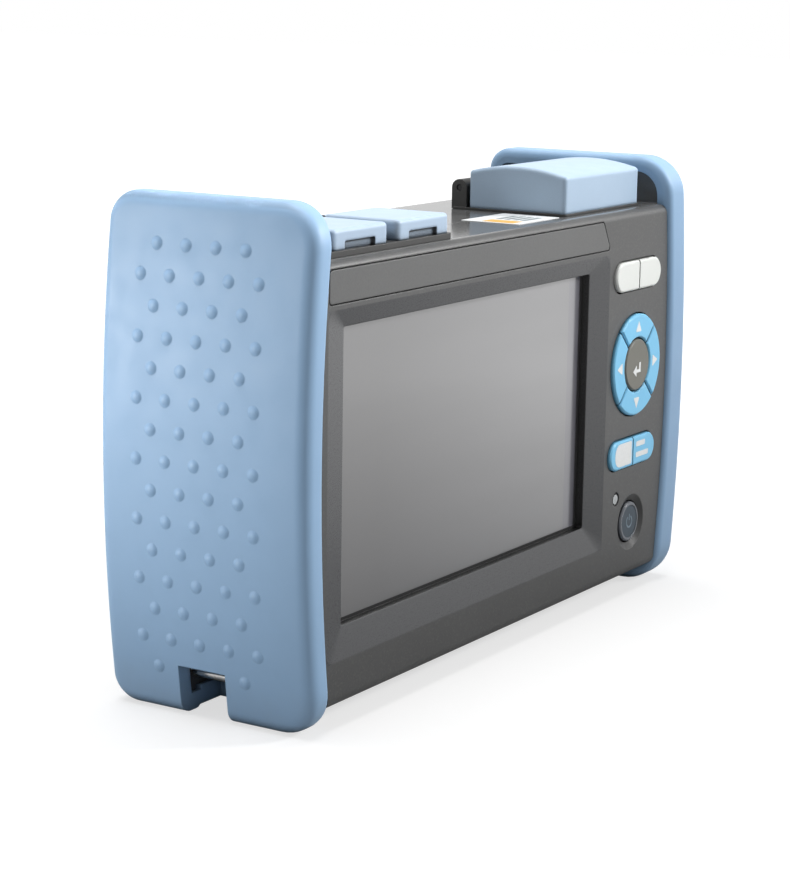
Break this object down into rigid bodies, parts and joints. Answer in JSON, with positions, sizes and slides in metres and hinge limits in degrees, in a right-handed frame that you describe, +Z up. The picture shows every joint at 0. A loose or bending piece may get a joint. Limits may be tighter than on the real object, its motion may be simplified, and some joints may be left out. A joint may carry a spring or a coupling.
{
  "type": "optical time domain reflectometer",
  "caption": "Handheld instrument for testing optical fibre: wide screen, round direction pad and keys in a dark case between two bowed rubber bumpers, with hinged port covers on top.",
  "frame": {"origin": "middle of the width and depth, on the surface the instrument stands on", "axes": "+X to the user's right along the width, +Y away from the user through the depth, +Z up; the screen faces -Y"},
  "size_m": [0.185, 0.056, 0.116],
  "materials": {
    "case_plastic": "fine textured, satin",
    "strip_plastic": "fine textured, satin",
    "screen_film": "semi-gloss film",
    "lcd": "flat, unlit",
    "keypad_rubber": "matt",
    "bumper_rubber": "soft satin",
    "white_key": "matt",
    "blue_key": "satin",
    "dark_key": "satin",
    "power_ring": "satin",
    "power_disc": "satin",
    "led": "clear, unlit",
    "steel": "bright",
    "dark_plastic": "satin",
    "cap_plastic": "satin",
    "adapter_plastic": "satin",
    "board": "solder mask",
    "module_metal": "plain",
    "battery_wrap": "satin"
  },
  "bodies": {
    "instrument": {"front_case": "case_plastic", "rear_case": "case_plastic", "name_strip": "strip_plastic", "touch_panel": "screen_film", "lcd_module": "lcd", "keypad_mat": "keypad_rubber", "left_bumper": "bumper_rubber", "right_bumper": "bumper_rubber", "status_led": "led", "left_strap_bar": "steel", "right_strap_bar": "steel", "port_plinth": "dark_plastic", "port_cap_pins": "steel", "cover_bracket": "dark_plastic", "cover_pin": "steel", "otdr_adapter": "adapter_plastic", "light_source_adapter": "steel", "usb_a_port": "steel", "micro_usb_port": "steel", "dc_jack": "dark_plastic", "main_board": "board", "otdr_module": "module_metal", "battery_pack": "battery_wrap", "battery_door": "case_plastic", "battery_door_screws": "steel", "stand_pins": "steel", "case_screws": "steel"},
    "real_time_key_body": {"real_time_key": "white_key"},
    "average_key_body": {"average_key": "white_key"},
    "menu_key_body": {"menu_key": "blue_key"},
    "setup_key_body": {"setup_key": "blue_key"},
    "right_key_body": {"right_key": "blue_key"},
    "up_key_body": {"up_key": "blue_key"},
    "left_key_body": {"left_key": "blue_key"},
    "down_key_body": {"down_key": "blue_key"},
    "enter_key_body": {"enter_key": "dark_key"},
    "power_key_body": {"power_key": "power_ring", "power_key_disc": "power_disc"},
    "power_port_cap_lid": {"power_port_cap": "cap_plastic"},
    "usb_port_cap_lid": {"usb_port_cap": "cap_plastic"},
    "optical_cover_lid": {"optical_cover": "cap_plastic"},
    "stand": {"tilt_stand": "case_plastic"}
  },
  "joints": [
    {"name": "real_time_key_press", "type": "slide", "parent": "instrument", "child": "real_time_key_body", "axis": [0, 1, 0], "range_m": [0, 0.0008], "stiffness_N_per_m": 1500},
    {"name": "average_key_press", "type": "slide", "parent": "instrument", "child": "average_key_body", "axis": [0, 1, 0], "range_m": [0, 0.0008], "stiffness_N_per_m": 1500},
    {"name": "menu_key_press", "type": "slide", "parent": "instrument", "child": "menu_key_body", "axis": [0, 1, 0], "range_m": [0, 0.0008], "stiffness_N_per_m": 1500},
    {"name": "setup_key_press", "type": "slide", "parent": "instrument", "child": "setup_key_body", "axis": [0, 1, 0], "range_m": [0, 0.0008], "stiffness_N_per_m": 1500},
    {"name": "right_key_press", "type": "slide", "parent": "instrument", "child": "right_key_body", "axis": [0, 1, 0], "range_m": [0, 0.0008], "stiffness_N_per_m": 1500},
    {"name": "up_key_press", "type": "slide", "parent": "instrument", "child": "up_key_body", "axis": [0, 1, 0], "range_m": [0, 0.0008], "stiffness_N_per_m": 1500},
    {"name": "left_key_press", "type": "slide", "parent": "instrument", "child": "left_key_body", "axis": [0, 1, 0], "range_m": [0, 0.0008], "stiffness_N_per_m": 1500},
    {"name": "down_key_press", "type": "slide", "parent": "instrument", "child": "down_key_body", "axis": [0, 1, 0], "range_m": [0, 0.0008], "stiffness_N_per_m": 1500},
    {"name": "enter_key_press", "type": "slide", "parent": "instrument", "child": "enter_key_body", "axis": [0, 1, 0], "range_m": [0, 0.0008], "stiffness_N_per_m": 1500},
    {"name": "power_key_press", "type": "slide", "parent": "instrument", "child": "power_key_body", "axis": [0, 1, 0], "range_m": [0, 0.0008], "stiffness_N_per_m": 1500},
    {"name": "power_port_cap_hinge", "type": "hinge", "parent": "instrument", "child": "power_port_cap_lid", "pos_m": [-0.0657, -0.0016, 0.1072], "axis": [-1, 0, 0], "range_deg": [0, 105]},
    {"name": "usb_port_cap_hinge", "type": "hinge", "parent": "instrument", "child": "usb_port_cap_lid", "pos_m": [-0.0399, -0.0016, 0.1072], "axis": [-1, 0, 0], "range_deg": [0, 105]},
    {"name": "optical_cover_hinge", "type": "hinge", "parent": "instrument", "child": "optical_cover_lid", "pos_m": [0.052, 0.0094, 0.1091], "axis": [-1, 0, 0], "range_deg": [0, 110]},
    {"name": "tilt_stand_hinge", "type": "hinge", "parent": "instrument", "child": "stand", "pos_m": [0, 0.0246, 0.09], "axis": [1, 0, 0], "range_deg": [0, 60]}
  ]
}
